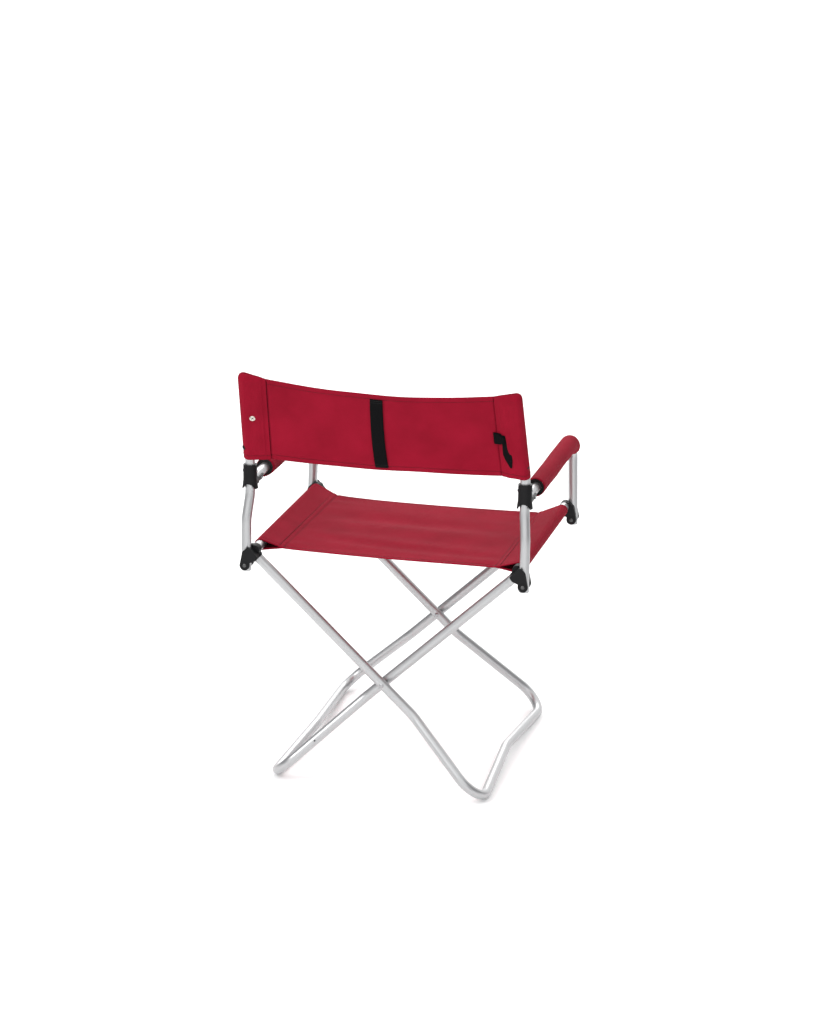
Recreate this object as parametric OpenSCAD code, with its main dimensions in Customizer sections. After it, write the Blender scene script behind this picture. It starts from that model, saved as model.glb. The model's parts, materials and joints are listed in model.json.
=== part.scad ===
// Folding director chair: two crossed tube leg frames, two side frames, cloth seat and back.
// Front is -Y, rear is +Y, the sitter's right side is +X. Origin: floor level, middle of the chair.

/* [Tube] */
// Outer diameter of every tube
tube_d = 19; // [18:0.5:19]
// Wall thickness of every tube
tube_wall = 1.5; // [1.2:0.1:2]

/* [Leg frames] */
// Height of the pivot where the legs cross
pivot_h = 207.5; // [205:0.5:210]
// Angle between the legs and the floor
leg_angle = 43.1; // [42.5:0.1:43.5]
// Length of a leg from the pivot up to its hub
leg_top = 341.7; // [338:0.1:343]
// Distance from the middle to a leg, taken halfway between the two frames
leg_y = 222; // [220:1:224]
// Distance between the two frames where they cross
stagger = 20; // [19.6:0.1:20.4]
// Outward spread of a leg at the floor
leg_spread = 75; // [70:1:78]
// Lift of the floor rail at its middle
rail_lift = 21.8; // [18:0.2:24]
// Bend radius of the floor corners
corner_r = 46; // [44:1:52]

/* [Side frames] */
// Distance from the middle plane to a post
post_x = 271.5; // [271:0.5:272]
// Offset of a post outward from the leg it is hinged to
post_out = 8; // [8:0.1:8.2]
// Inward lean of the side frames, measured at the armrests
lean = 4.6; // [3:0.2:5]
// Height of the armrest tube's centre line
arm_h = 594; // [592:1:598]
// Bend radius of the armrest tube
arm_bend_r = 40; // [38:1:42]
// Diameter of the padded armrest
arm_pad_d = 36.4; // [34:0.2:38]
// Recline of the back posts
recline = 19.6; // [17:0.1:21]
// Length of a back post above its upper bend
back_len = 182; // [178:1:186]
// Angle by which the back posts lean towards each other
toe_in = 2.2; // [1:0.1:3]

/* [Cloth] */
// Front to back length of the seat cloth
seat_len = 396; // [388:2:398]
// Sag of the seat cloth at its middle
seat_sag = 6; // [4:0.5:8]
// Distance from a back post to the seam of its sleeve
back_seam = 43; // [41:0.5:45]
// Dip of the back cloth's top edge
back_dip = 11; // [8:0.5:13]

/* [Hidden] */
$fn = 64;

LEFT = 1;
RIGHT = -1;
REAR = 1;
FRONT = -1;
SILVER = [0.78, 0.79, 0.8];
BLACK = [0.08, 0.08, 0.08];
FOAM = [0.12, 0.12, 0.12];
RED = [0.6, 0.11, 0.2];
STEEL = [0.55, 0.55, 0.56];

tube_r = tube_d / 2;
tube_ri = tube_r - tube_wall;
fit = 0.05;          // radial gap of a pin in its hole
snug = 0.1;          // radial gap of a part slipped over a tube
sleeve_gap = 0.3;    // radial gap between a tube and its cloth sleeve
elbow_swell = 0.05;  // extra radius of a bend
elbow_lap = 0.8;     // reach of a straight length into its bend
rivet_r = 3;

// Leg frame, in its own plane: u runs up the leg from the pivot
corner_cut = 3.95;   // the rounded corners stand this much short of their sharp points
floor_u = -(pivot_h - tube_r) / sin(leg_angle) - corner_cut;
outer_bend_u = -84;
inner_bend_u = -54;
leg_bend_r = 70;
rail_bend_r = 120;
groove_u = leg_top - 13;
groove_w = 2.4;
groove_depth = 0.5;
drain_u = -175;
drain_r = 1.8;

// Hub, in the X Z plane
hinge = [post_x, 430];
rail_at = [257, 457];
hub_in = 11;         // hub face on the inner side, from the leg's centre line
hub_out = post_out + 14;
ear_t = 4;
slot_half = tube_r + 0.5;
slot_in = tube_r + 1.8;  // from the hinge to the web, past the leaning post
barrel_r = 10.4;
boss_r = 6.8;
boss_h = 0.7;
spigot_r = tube_ri - fit;
spigot_len = 22;
post_drop = 12.5;    // end of a post below its hinge
post_end_r = norm([tube_r, post_drop]);

// Rear post, seen from the side: [offset in y from its foot, height]
post_jog = 10;
jog_low = 520;
jog_high = 568;
back_bend_h = 634;
post_bend_r = 70;
back_bend_r = 45;
rear_post_y = leg_y + post_out;
arm_x = post_x - lean;

// Arm clamp
clamp_low = 580;
clamp_high = 627;
clamp_r = 13.4;
clamp_arch_r = 12;
clamp_flare = 2;
cradle_len = 48;
cradle_r = 12.4;

// Armrest padding
pad_start = 99;      // bare tube behind the pad
pad_low = 571;       // lower end of the pad on the front post
foam_low = 584;      // the foam stops short of the cover, which is gathered round the post there
cover_t = 1.5;
cover_over = 2.5;

// Cloth
cloth_t = 1.6;
seat_tuck = 30;      // width of the seat sleeve inward of its rail
screw_inset = 26;    // cloth screws from the ends of the seat cloth
back_low = 9;        // lower edge of the back cloth above the bend
back_top = 188;
web_w = 25;
web_x = 6;

function unit(v) = v / norm(v);
function turn(a, b, c) = acos(unit(b - a) * unit(c - b));
function trim(a, b, c, r) = r * tan(turn(a, b, c) / 2);
function leg_yy(side, end) = end * leg_y + side * stagger / 2;
function post_yy(side, end) = end * rear_post_y + side * stagger / 2;
function on_leg(u, y) = [u * cos(leg_angle), y, pivot_h + u * sin(leg_angle)];

// ---------- tubes ----------

// Straight round rod between two points
module rod(a, b, r) {
    v = b - a;
    translate(a) rotate([0, acos(v.z / norm(v)), atan2(v.y, v.x)]) cylinder(h = norm(v), r = r);
}

// Part of a ring that rounds the corner b of the line a, b, c. It is a hair thicker than the rods,
// whose ends run a little way into it, so that the pieces cross cleanly.
module elbow(a, b, c, bend_r, r) {
    d1 = unit(b - a);
    d2 = unit(c - b);
    inward = unit(d2 - d1 * (d1 * d2));
    centre = b - d1 * trim(a, b, c, bend_r) + inward * bend_r;
    x = -inward;
    z = cross(x, d1);
    multmatrix([
        [x.x, d1.x, z.x, centre.x],
        [x.y, d1.y, z.y, centre.y],
        [x.z, d1.z, z.z, centre.z],
        [0, 0, 0, 1]
    ]) rotate_extrude(angle = turn(a, b, c)) translate([bend_r, 0]) circle(r + elbow_swell);
}

// Rod along a line of points with rounded corners; over lengthens both ends
module run(pts, bends, r, over = 0) {
    last = len(pts) - 1;
    for (i = [0 : last - 1]) {
        d = unit(pts[i + 1] - pts[i]);
        cut_a = i == 0 ? -over : trim(pts[i - 1], pts[i], pts[i + 1], bends[i - 1]) - elbow_lap;
        cut_b = i == last - 1 ? -over : trim(pts[i], pts[i + 1], pts[i + 2], bends[i]) - elbow_lap;
        rod(pts[i] + d * cut_a, pts[i + 1] - d * cut_b, r);
    }
    for (i = [1 : 1 : last - 1]) elbow(pts[i - 1], pts[i], pts[i + 1], bends[i - 1], r);
}

module tube(pts, bends, ro, ri) {
    difference() {
        run(pts, bends, ro);
        run(pts, bends, ri, 1);
    }
}

// Two circles and the straight sides between them
module strap(a, ra, b, rb) {
    hull() {
        translate(a) circle(ra);
        translate(b) circle(rb);
    }
}

// Pin along Y with a domed head at both ends
module rivet(x, z, y0, y1, head_r) {
    translate([x, y0, z]) rotate([-90, 0, 0]) {
        cylinder(h = y1 - y0, r = rivet_r);
        for (end = [0, 1])
            translate([0, 0, end * (y1 - y0)]) mirror([0, 0, 1 - end]) rivet_head(head_r);
    }
}

module rivet_head(r) {
    cap = r * 0.45;
    ball = (r * r + cap * cap) / (2 * cap);
    intersection() {
        cylinder(h = cap, r = r);
        translate([0, 0, cap - ball]) sphere(ball);
    }
}

// Places a left-side part on either side; the right one is the mirror image, moved by the stagger
module side_place(side) {
    if (side == LEFT) children();
    else translate([0, -stagger, 0]) mirror([1, 0, 0]) children();
}

// ---------- leg frames ----------

module leg_frame_half_turn(side) {
    rotate([0, 0, side == LEFT ? 0 : 180]) children();
}

function leg_path() =
    let (yo = leg_yy(LEFT, REAR), yi = leg_yy(LEFT, FRONT))
    [
        on_leg(leg_top, yo),
        on_leg(outer_bend_u, yo),
        on_leg(floor_u, yo + leg_spread),
        on_leg(floor_u + rail_lift, stagger / 2),
        on_leg(floor_u, yi - leg_spread),
        on_leg(inner_bend_u, yi),
        on_leg(leg_top, yi)
    ];

module leg_frame(side) {
    color(SILVER) leg_frame_half_turn(side) difference() {
        tube(leg_path(), [leg_bend_r, corner_r, rail_bend_r, corner_r, leg_bend_r], tube_r, tube_ri);
        for (end = [REAR, FRONT]) {
            translate([0, leg_yy(LEFT, end), pivot_h]) rotate([90, 0, 0])
                cylinder(h = 2 * tube_d, r = rivet_r + fit, center = true);
            crimp_groove(leg_yy(LEFT, end));
        }
        drain_hole();
    }
}

// Shallow ring pressed into the tube to lock it on the hub's spigot
module crimp_groove(y) {
    translate(on_leg(groove_u, y)) rotate([0, 90 - leg_angle, 0]) difference() {
        cylinder(h = groove_w, r = tube_r + 1);
        translate([0, 0, -1]) cylinder(h = groove_w + 2, r = tube_r - groove_depth);
    }
}

module drain_hole() {
    y = leg_yy(LEFT, FRONT) - leg_spread * (inner_bend_u - drain_u) / (inner_bend_u - floor_u);
    translate(on_leg(drain_u, y)) rotate([90, 0, 0]) cylinder(h = tube_d, r = drain_r);
}

module seat_rail(side) {
    color(SILVER) leg_frame_half_turn(side) difference() {
        y0 = leg_yy(LEFT, FRONT) + hub_in;
        y1 = leg_yy(LEFT, REAR) - hub_in;
        tube([[rail_at.x, y0, rail_at.y], [rail_at.x, y1, rail_at.y]], [], tube_r, tube_ri);
        seat_screw_places() cylinder(h = tube_d, r = 2 + fit, center = true);
    }
}

// Points under the rail where the cloth is screwed to it
module seat_screw_places() {
    for (y = [-1, 1] * (seat_len / 2 - screw_inset))
        translate([rail_at.x, y, rail_at.y - tube_r]) children();
}

module seat_screws(side) {
    under = sleeve_gap + cloth_t + snug;
    color(BLACK) leg_frame_half_turn(side) seat_screw_places() mirror([0, 0, 1]) {
        translate([0, 0, -5]) cylinder(h = 5 + under, r = 2);
        translate([0, 0, under]) rivet_head(4);
    }
}

// ---------- hubs ----------

// Outline of the hinge plates, hinge at the origin
module ear_outline() {
    hull() {
        circle(9.8);
        translate([-2, 24]) circle(7);
    }
    hull() {
        translate([-7, 32.5]) circle(4);
        translate([-3, 27.5]) circle(5);
        translate([-22.3, 17.2]) circle(3.4);
        translate([-18.5, 12.5]) circle(3.4);
        translate([-3, 9]) circle(6);
    }
}

// Hub with y = 0 on the leg's centre line and its ears outward, towards +Y
module hub_body() {
    difference() {
        union() {
            translate([hinge.x, hub_out, hinge.y]) rotate([90, 0, 0])
                linear_extrude(hub_in + hub_out) ear_outline();
            rod(on_leg(leg_top, 0), on_leg(leg_top + 23, 0), barrel_r);
            translate([rail_at.x, hub_in - 5, rail_at.y]) rotate([90, 0, 0])
                cylinder(h = 2 * hub_in - 5, r = barrel_r);
            for (face = [-hub_in - boss_h, hub_out - 1])
                translate([hinge.x, face + boss_h + 1, hinge.y]) rotate([90, 0, 0])
                    cylinder(h = boss_h + 1, r = boss_r);
        }
        post_slot();
        rod(on_leg(leg_top - 60, 0), on_leg(leg_top + fit, 0), tube_r + snug);
        translate([hinge.x, 0, hinge.y]) rotate([90, 0, 0])
            cylinder(h = 100, r = rivet_r + fit, center = true);
    }
    rod(on_leg(leg_top - spigot_len, 0), on_leg(leg_top + 2, 0), spigot_r);
    rod([rail_at.x, -hub_in - spigot_len, rail_at.y], [rail_at.x, 2 - hub_in, rail_at.y], spigot_r);
}

// Room between the ears: the post stands against the web and swings outward from it
module post_slot() {
    reach = 60;
    translate([0, post_out - slot_half, 0]) {
        translate([hinge.x - slot_in, 0, hinge.y - reach]) cube([reach, 2 * slot_half, 2 * reach]);
        translate([hinge.x, 2 * slot_half, hinge.y]) rotate([90, 0, 0])
            cylinder(h = 2 * slot_half, r = post_end_r + 0.4);
    }
}

module hub(side, end) {
    color(BLACK) translate([0, leg_yy(side, end), 0])
        mirror([side == LEFT ? 0 : 1, 0, 0]) mirror([0, end == REAR ? 0 : 1, 0]) hub_body();
}

module hinge_rivets(side) {
    color(STEEL) for (end = [REAR, FRONT]) {
        y = leg_yy(side, end);
        lo = boss_h + (end == REAR ? hub_in : hub_out);
        rivet(side * hinge.x, hinge.y, y - lo, y - lo + hub_in + hub_out + 2 * boss_h, 3.8);
    }
}

module pivot_rivets() {
    reach = (stagger + tube_d) / 2;
    color(STEEL) for (end = [REAR, FRONT])
        rivet(0, pivot_h, end * leg_y - reach, end * leg_y + reach, 4.6);
}

module pivot_spacers() {
    t = stagger - tube_d;
    color(BLACK) for (end = [REAR, FRONT])
        translate([0, end * leg_y, pivot_h]) rotate([90, 0, 0]) difference() {
            cylinder(h = t, r = 6.5, center = true);
            cylinder(h = t + 1, r = rivet_r + fit, center = true);
        }
}

// ---------- side frames ----------

rear_y = post_yy(LEFT, REAR);
front_y = post_yy(LEFT, FRONT);
upper_y = rear_y - post_jog;
post_foot = hinge.y - post_drop;

function front_x(z) = post_x - lean * (z - hinge.y) / (arm_h - hinge.y);
function back_point(t) = [
    arm_x - t * sin(toe_in),
    upper_y + t * cos(toe_in) * sin(recline),
    back_bend_h + t * cos(toe_in) * cos(recline)
];
function back_path() = [
    [post_x, rear_y, post_foot], [post_x, rear_y, jog_low], [arm_x, upper_y, jog_high],
    [arm_x, upper_y, back_bend_h], back_point(back_len)
];
function arm_path(start_y, low_h) = [
    [arm_x, start_y, arm_h], [arm_x, front_y, arm_h], [front_x(low_h), front_y, low_h]
];

module hinge_bore(y) {
    translate([post_x, y, hinge.y]) rotate([90, 0, 0])
        cylinder(h = 2 * tube_d, r = rivet_r + fit, center = true);
}

module back_post(side) {
    color(SILVER) side_place(side) difference() {
        tube(back_path(), [post_bend_r, post_bend_r, back_bend_r], tube_r, tube_ri);
        hinge_bore(rear_y);
        button_place() cylinder(h = tube_r, r = 2 + fit);
        clamp_rivet_axis(0) cylinder(h = 2 * tube_d, r = rivet_r - 1 + fit, center = true);
    }
}

module arm_tube(side) {
    color(SILVER) side_place(side) difference() {
        tube(arm_path(upper_y - clamp_r - 0.4, post_foot), [arm_bend_r], tube_r, tube_ri);
        hinge_bore(front_y);
        clamp_rivet_axis(1) cylinder(h = 2 * tube_d, r = rivet_r - 1 + fit, center = true);
    }
}

// Axes of the two small clamp rivets, across the chair: 0 through the post, 1 through the arm tube
module clamp_rivet_axis(which) {
    y = upper_y - which * 34;
    z = which == 0 ? 614 : arm_h - 3;
    translate([arm_x, y, z]) rotate([0, 90, 0]) children();
}

module clamp_rivets(side) {
    color(STEEL) side_place(side) for (which = [0, 1]) {
        half = which == 0 ? clamp_r + 0.2 : cradle_r + 0.2;
        clamp_rivet_axis(which) {
            cylinder(h = 2 * half, r = rivet_r - 1, center = true);
            for (s = [0, 1]) mirror([0, 0, s]) translate([0, 0, half]) rivet_head(3.4);
        }
    }
}

module arm_clamp(side) {
    color(BLACK) side_place(side) difference() {
        union() {
            translate([arm_x, upper_y, clamp_low]) {
                cylinder(h = clamp_high - clamp_low, r = clamp_r);
                cylinder(h = clamp_arch_r + 4, r1 = clamp_r + clamp_flare, r2 = clamp_r);
            }
            rod([arm_x, upper_y - cradle_len, arm_h], [arm_x, upper_y, arm_h], cradle_r);
            translate([arm_x - 5, upper_y, 0]) rotate([90, 0, 90]) linear_extrude(10)
                polygon([[0, clamp_low], [-cradle_len + 6, arm_h - cradle_r - 3], [-cradle_len, arm_h], [0, arm_h]]);
        }
        translate([arm_x, upper_y, clamp_low - 30]) cylinder(h = 100, r = tube_r + snug);
        rod([arm_x, upper_y - 100, arm_h], [arm_x, upper_y - clamp_r - 0.2, arm_h], tube_r + snug);
        translate([arm_x - 20, upper_y - 80, arm_h + 3]) cube([40, 80 - clamp_r, 30]);
        translate([arm_x, upper_y, clamp_low - 2]) rotate([90, 0, 0])
            cylinder(h = 60, r = clamp_arch_r, center = true);
        for (which = [0, 1])
            clamp_rivet_axis(which) cylinder(h = 60, r = rivet_r - 1 + fit, center = true);
    }
}

module post_cap(side) {
    color(BLACK) side_place(side) {
        rod(back_point(back_len - 12), back_point(back_len + 1), tube_ri - fit);
        rod(back_point(back_len + fit), back_point(back_len + 2.4), tube_r);
    }
}

// Padding round the armrest tube from y = start_y to the height low_h on the front post
module arm_sleeve(start_y, low_h, ro, ri) {
    difference() {
        tube(arm_path(start_y, arm_h - arm_bend_r - 4), [arm_bend_r], ro, ri);
        translate([arm_x - arm_pad_d, front_y - arm_pad_d, 0]) cube([2 * arm_pad_d, 2 * arm_pad_d, low_h]);
    }
}

module arm_foam(side) {
    color(FOAM) side_place(side)
        arm_sleeve(upper_y - pad_start, foam_low, arm_pad_d / 2 - cover_t - snug, tube_r + snug);
}

module arm_cover(side) {
    color(RED) side_place(side)
        arm_sleeve(upper_y - pad_start + cover_over, pad_low, arm_pad_d / 2, arm_pad_d / 2 - cover_t);
}

// ---------- back cloth ----------

// Frame of a back post: z along the reclined post from its bend, x outward, y rearward
module on_back() {
    translate([arm_x, upper_y, back_bend_h]) rotate([-recline, 0, 0]) rotate([0, -toe_in, 0]) children();
}

sleeve_r = tube_r + sleeve_gap + cloth_t;
sleeve_edge = cloth_t * 0.85;
sleeve_slope = asin((sleeve_r - sleeve_edge) / back_seam);

// Rear face of a back sleeve: x along it from the seam towards the post, y away from it
module on_sleeve() {
    on_back() translate([-back_seam, 0, 0]) rotate([0, 0, sleeve_slope])
        translate([0, sleeve_edge + snug, 0]) children();
}

module back_sleeve(side) {
    color(RED) side_place(side) on_back() difference() {
        translate([0, 0, back_low]) linear_extrude(back_top - back_low)
            strap([0, 0], sleeve_r, [-back_seam, 0], sleeve_edge);
        translate([0, 0, back_low - 1]) linear_extrude(back_top - cloth_t - back_low + 1)
            strap([0, 0], sleeve_r - cloth_t, [4 - back_seam, 0], 0.5);
        button_place_local() cylinder(h = 6, r = 2 + fit);
    }
}

button_reach = 3;    // length of the button's screw inside the post

// Outer lower side of a sleeve, where a button screw holds the cloth to the post
module button_place_local() {
    rotate([0, 0, 45]) translate([tube_r - button_reach, 0, 35]) rotate([0, 90, 0]) children();
}

module button_place() {
    on_back() button_place_local() children();
}

module sleeve_button(side) {
    color(BLACK) side_place(side) button_place() {
        top = button_reach + sleeve_gap + cloth_t + snug;
        cylinder(h = top, r = 2);
        translate([0, 0, top]) rivet_head(5);
    }
}

// Frame of the back panel: its middle plane, turned a little because the posts are staggered
module on_panel() {
    translate([0, upper_y - stagger / 2, back_bend_h])
        rotate([0, 0, atan2(stagger, 2 * arm_x)]) rotate([-recline, 0, 0]) children();
}

function panel_half(z) = arm_x - z * sin(toe_in) - back_seam - 4;

module back_panel() {
    low = panel_half(back_low);
    high = panel_half(back_top);
    arc_r = (high * high + back_dip * back_dip) / (2 * back_dip);
    color(RED) on_panel() rotate([90, 0, 0]) linear_extrude(cloth_t, center = true) difference() {
        polygon([[-low, back_low], [low, back_low], [high, back_top], [-high, back_top]]);
        translate([0, back_top - back_dip + arc_r]) circle(arc_r, $fn = 720);
    }
}

module back_webbing() {
    bottom = back_low + 4;
    top = back_top - back_dip - 10.6;
    color(BLACK) on_panel() translate([web_x - web_w / 2, cloth_t / 2 + snug, bottom])
        cube([web_w, 1.4, top - bottom]);
}

tab_t = 85;          // lower edge of the closure tab above the bend
tab_off = 3.6;       // tab's distance from the sleeve's middle plane
tab_end = 8;         // outer end of the tab, from the seam
snap_at = [15, 90];  // snap on the strap, from the seam and above the bend
strap_t = 2;

module closure_tab() {
    color(BLACK) side_place(RIGHT) on_back()
        translate([tab_end - back_seam - 15, tab_off, tab_t]) cube([15, 1.6, 24]);
}

// Pointed strap that hangs beside the tab, with its snap near the top
module closure_strap() {
    color(BLACK) side_place(RIGHT) on_sleeve() translate([0, strap_t, 0]) rotate([90, 0, 0])
        linear_extrude(strap_t) difference() {
            hull() {
                translate([12.4, 106]) circle(2.4);
                translate([15.6, 102]) circle(2.4);
                translate([11, 60]) circle(2.4);
                translate([26, 60]) circle(2.4);
                translate([23, 37]) circle(3);
            }
            translate(snap_at) circle(2 + fit);
        }
}

module snap_socket() {
    color(STEEL) side_place(RIGHT) on_sleeve() translate([snap_at.x, 0, snap_at.y]) rotate([-90, 0, 0]) {
        cylinder(h = strap_t + 1, r = 2);
        translate([0, 0, strap_t + snug]) rivet_head(4.6);
    }
}

module snap_stud() {
    color(STEEL) side_place(LEFT) on_sleeve() translate([30, 0, 105]) rotate([-90, 0, 0]) {
        rivet_head(6.6);
        cylinder(h = 4.8, r = 2.2);
    }
}

// ---------- seat cloth ----------

module seat_sleeve(side) {
    outer_r = tube_r + sleeve_gap + cloth_t;
    color(RED) leg_frame_half_turn(side) difference() {
        translate([rail_at.x, seat_len / 2, rail_at.y]) rotate([90, 0, 0]) linear_extrude(seat_len) difference() {
            strap([0, 0], outer_r, [-seat_tuck, 0], cloth_t * 0.85);
            strap([0, 0], outer_r - cloth_t, [4 - seat_tuck, 0], 0.5);
        }
        seat_screw_places() cylinder(h = 10, r = 2 + fit, center = true);
    }
}

module seat_panel() {
    half_w = rail_at.x - seat_tuck - cloth_t * 0.85 - 0.6;
    arc_r = (half_w * half_w + seat_sag * seat_sag) / (2 * seat_sag);
    color(RED) translate([0, seat_len / 2, rail_at.y - seat_sag + arc_r]) rotate([90, 0, 0])
        linear_extrude(seat_len) intersection() {
            difference() {
                circle(arc_r + cloth_t / 2, $fn = 1440);
                circle(arc_r - cloth_t / 2, $fn = 1440);
            }
            translate([-half_w, -arc_r - 10]) square([2 * half_w, 30]);
        }
}

leg_frame(LEFT);  // leg_frame_left
leg_frame(RIGHT);  // leg_frame_right
hub(LEFT, REAR);  // hub_rear_left
hub(LEFT, FRONT);  // hub_front_left
hub(RIGHT, REAR);  // hub_rear_right
hub(RIGHT, FRONT);  // hub_front_right
seat_rail(LEFT);  // seat_rail_left
seat_rail(RIGHT);  // seat_rail_right
pivot_rivets();
pivot_spacers();
hinge_rivets(LEFT);  // hinge_rivets_left
hinge_rivets(RIGHT);  // hinge_rivets_right
arm_tube(LEFT);  // arm_tube_left
arm_tube(RIGHT);  // arm_tube_right
back_post(LEFT);  // back_post_left
back_post(RIGHT);  // back_post_right
arm_clamp(LEFT);  // arm_clamp_left
arm_clamp(RIGHT);  // arm_clamp_right
clamp_rivets(LEFT);  // clamp_rivets_left
clamp_rivets(RIGHT);  // clamp_rivets_right
post_cap(LEFT);  // post_cap_left
post_cap(RIGHT);  // post_cap_right
arm_foam(LEFT);  // arm_foam_left
arm_foam(RIGHT);  // arm_foam_right
arm_cover(LEFT);  // arm_cover_left
arm_cover(RIGHT);  // arm_cover_right
back_sleeve(LEFT);  // back_sleeve_left
back_sleeve(RIGHT);  // back_sleeve_right
sleeve_button(LEFT);  // sleeve_button_left
sleeve_button(RIGHT);  // sleeve_button_right
back_panel();
back_webbing();
closure_tab();
closure_strap();
snap_socket();
snap_stud();
seat_sleeve(LEFT);  // seat_sleeve_left
seat_sleeve(RIGHT);  // seat_sleeve_right
seat_screws(LEFT);  // seat_screws_left
seat_screws(RIGHT);  // seat_screws_right
seat_panel();
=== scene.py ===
"""Looks of the folding director chair: cloth, padding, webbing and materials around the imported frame.

Units are metres. Front is -Y, rear is +Y, up is +Z and the sitter's right side, called left in the node
names as the chair is seen from behind, is +X.
"""

import json
import math

import bpy
import numpy as np
from mathutils import Matrix, Vector


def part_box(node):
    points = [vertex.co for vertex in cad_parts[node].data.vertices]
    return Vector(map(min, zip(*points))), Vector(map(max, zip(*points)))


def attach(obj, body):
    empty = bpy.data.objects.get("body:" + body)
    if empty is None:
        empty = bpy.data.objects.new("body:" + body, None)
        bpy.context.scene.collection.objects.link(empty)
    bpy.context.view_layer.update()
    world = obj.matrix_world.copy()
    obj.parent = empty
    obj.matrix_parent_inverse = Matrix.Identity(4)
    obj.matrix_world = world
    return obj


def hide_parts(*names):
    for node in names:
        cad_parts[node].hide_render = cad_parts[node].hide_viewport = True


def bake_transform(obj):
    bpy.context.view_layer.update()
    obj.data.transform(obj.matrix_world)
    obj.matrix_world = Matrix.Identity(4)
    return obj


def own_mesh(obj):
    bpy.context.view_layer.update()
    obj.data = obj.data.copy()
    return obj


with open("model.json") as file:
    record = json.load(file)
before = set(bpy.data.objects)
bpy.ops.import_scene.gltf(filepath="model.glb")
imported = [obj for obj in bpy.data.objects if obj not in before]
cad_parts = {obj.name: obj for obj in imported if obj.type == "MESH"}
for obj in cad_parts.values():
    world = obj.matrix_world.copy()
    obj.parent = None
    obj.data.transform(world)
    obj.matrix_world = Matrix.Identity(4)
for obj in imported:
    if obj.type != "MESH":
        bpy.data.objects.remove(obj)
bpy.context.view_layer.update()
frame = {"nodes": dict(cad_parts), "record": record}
NODES = frame["nodes"]
LEFT, RIGHT = 1, -1
MM = 0.001

# ---------- sizes taken from the frame ----------


def centre(node):
    low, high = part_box(node)
    return (low + high) / 2


def size(node):
    low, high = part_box(node)
    return high - low


RAIL = centre("seat_rail_left")
TUBE_R = size("seat_rail_left").x / 2
SEAT_HALF = size("seat_sleeve_left").y / 2
ARM_X = centre("arm_clamp_left").x
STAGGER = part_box("leg_frame_left")[1].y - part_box("leg_frame_right")[1].y
PAD_R = 18.2 * MM
ARM_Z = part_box("arm_cover_left")[1].z - PAD_R
PAD_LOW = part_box("arm_cover_left")[0].z
PAD_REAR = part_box("arm_cover_left")[1].y
FRONT_POST_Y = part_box("arm_tube_left")[0].y + TUBE_R
ARM_BEND = 40 * MM
RECLINE = math.radians(19.6)
TOE_IN = math.radians(2.2)
UPPER_POST_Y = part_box("clamp_rivets_left")[1].y - 3.4 * MM
BACK_BEND_Z = 0.634
BACK_BEND = Vector((ARM_X, UPPER_POST_Y, BACK_BEND_Z))

# ---------- sizes of the cloth ----------

CLOTH = 1.2 * MM
WRAP_R = TUBE_R + 1.6 * MM        # middle of the cloth round a rail or post
SEAT_SEAM = 47 * MM               # seam of a seat sleeve, inward of its rail
SEAT_SAG = 2.5 * MM
FRONT_PULL = 9 * MM               # the front edge is drawn back this much between the rails
BACK_SEAM = 43 * MM
BACK_LOW = 9 * MM
BACK_HIGH = 188 * MM
BACK_PEAK = 8 * MM                # the top of a back sleeve rises this much towards its post
BACK_DIP = 11 * MM
BACK_BOW = 8 * MM
HEM = 11 * MM
HEM_ROW = HEM - MM                # from a free edge to the hem's row of stitches
FOLD_GAP = 1.35 * MM              # from the middle of a layer to the middle of the one folded under it
SEAM_GAP = FOLD_GAP * 0.75        # from the middle of a back seam to the middle of a layer
TURN = 0.9 * MM                   # length of the turned edge of a hem
HEM_FOLD = [(HEM, 1.0), (HEM / 2, 1.0), (TURN, 1.0), (0.0, 0.5), (TURN, 0.0)]  # (from the edge, share under)
STITCH_PITCH = 3.4 * MM
TWIN_GAP = 9 * MM                 # between the two rows of a double seam
LEFT_RISE = 1.025                 # the back cloth stands a little higher on the left post

# ---------- shader building ----------


class Graph:
    """A material's node tree, with short calls to add nodes. Inputs are values or other nodes' sockets."""

    def __init__(self, name):
        self.material = bpy.data.materials.new(name)
        self.material.use_nodes = True
        self.nodes = self.material.node_tree.nodes
        self.links = self.material.node_tree.links
        self.bsdf = self.nodes["Principled BSDF"]

    def put(self, socket, value):
        if isinstance(value, bpy.types.NodeSocket):
            self.links.new(value, socket)
        else:
            socket.default_value = value

    def node(self, kind, output=0, settings=None, **inputs):
        made = self.nodes.new("ShaderNode" + kind)
        for key, value in (settings or {}).items():
            setattr(made, key, value)
        for key, value in inputs.items():
            self.put(made.inputs[key.replace("_", " ")], value)
        return made.outputs[output]

    def math(self, operation, a, b=0.0):
        made = self.nodes.new("ShaderNodeMath")
        made.operation = operation
        self.put(made.inputs[0], a)
        self.put(made.inputs[1], b)
        return made.outputs[0]

    def mix(self, factor, a, b):
        made = self.nodes.new("ShaderNodeMix")
        made.data_type = "RGBA"
        self.put(made.inputs["Factor"], factor)
        self.put(made.inputs["A"], a)
        self.put(made.inputs["B"], b)
        return made.outputs["Result"]

    def noise(self, scale, detail=3.0, roughness=0.5, vector=None):
        where = vector or self.node("TexCoord", output=3)
        return self.node("TexNoise", Vector=where, Scale=scale, Detail=detail, Roughness=roughness)

    def span(self, value, low, high):
        """value, from 0 to 1, taken to low to high."""
        return self.node("MapRange", Value=value, To_Min=low, To_Max=high)

    def bump(self, height, distance, strength=1.0, under=None):
        made = self.nodes.new("ShaderNodeBump")
        made.inputs["Strength"].default_value = strength
        made.inputs["Distance"].default_value = distance
        self.links.new(height, made.inputs["Height"])
        if under:
            self.links.new(under, made.inputs["Normal"])
        return made.outputs[0]

    def finish(self, **inputs):
        for key, value in inputs.items():
            self.put(self.bsdf.inputs[key.replace("_", " ")], value)
        return self.material


def rgba(r, g, b):
    return (r, g, b, 1.0)


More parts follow.
